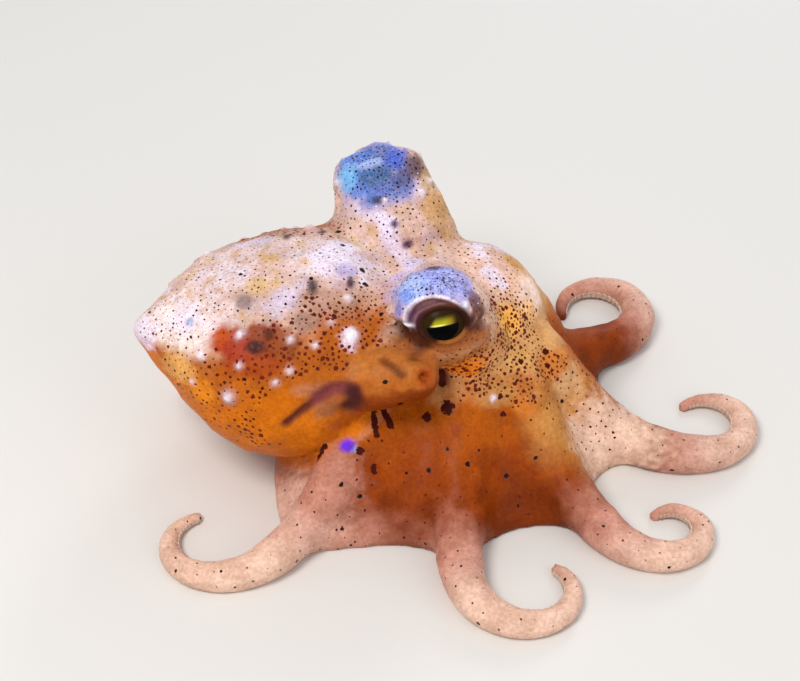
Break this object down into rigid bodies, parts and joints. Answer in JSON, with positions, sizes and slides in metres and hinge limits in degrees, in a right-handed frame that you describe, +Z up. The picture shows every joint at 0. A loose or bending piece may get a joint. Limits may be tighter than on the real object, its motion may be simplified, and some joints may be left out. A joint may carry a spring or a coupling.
{
  "type": "octopus",
  "caption": "Young octopus at life size, crouching with a web skirt, curled arms, raised eyes and a pointed mantle.",
  "frame": {"origin": "middle of the footprint of all the solids, on the ground under the web and arms", "axes": "+X the way the head faces, +Y towards the animal's left side, +Z up; the mantle points towards -X"},
  "size_m": [0.0372, 0.034, 0.0155],
  "materials": {
    "skin": "wet translucent skin, orange-tan with brown dots and white patches",
    "pale_skin": "wet translucent skin, pinkish tan with few dots",
    "eye_mound_skin": "wet skin with a blue and lavender shine and dark dots",
    "eye": "wet and glossy, black pupil in a yellow-green iris"
  },
  "bodies": {
    "root": {"arm_left_1_base": "pale_skin", "arm_left_1_middle": "pale_skin", "arm_left_1_tip": "pale_skin", "arm_left_2_base": "pale_skin", "arm_left_2_middle": "pale_skin", "arm_left_2_tip": "pale_skin", "arm_left_3_base": "pale_skin", "arm_left_3_middle": "pale_skin", "arm_left_3_tip": "pale_skin", "arm_left_4_base": "pale_skin", "arm_left_4_middle": "pale_skin", "arm_left_4_tip": "pale_skin", "arm_right_1_base": "pale_skin", "arm_right_1_middle": "pale_skin", "arm_right_1_tip": "pale_skin", "arm_right_2_base": "pale_skin", "arm_right_2_middle": "pale_skin", "arm_right_2_tip": "pale_skin", "arm_right_3_base": "pale_skin", "arm_right_3_middle": "pale_skin", "arm_right_3_tip": "pale_skin", "arm_right_4_base": "pale_skin", "arm_right_4_middle": "pale_skin", "arm_right_4_tip": "pale_skin", "eye_left": "eye", "eye_mound_left": "eye_mound_skin", "eye_mound_right": "eye_mound_skin", "eye_right": "eye", "funnel": "pale_skin", "head": "skin", "mantle": "skin", "web": "skin"}
  },
  "joints": []
}
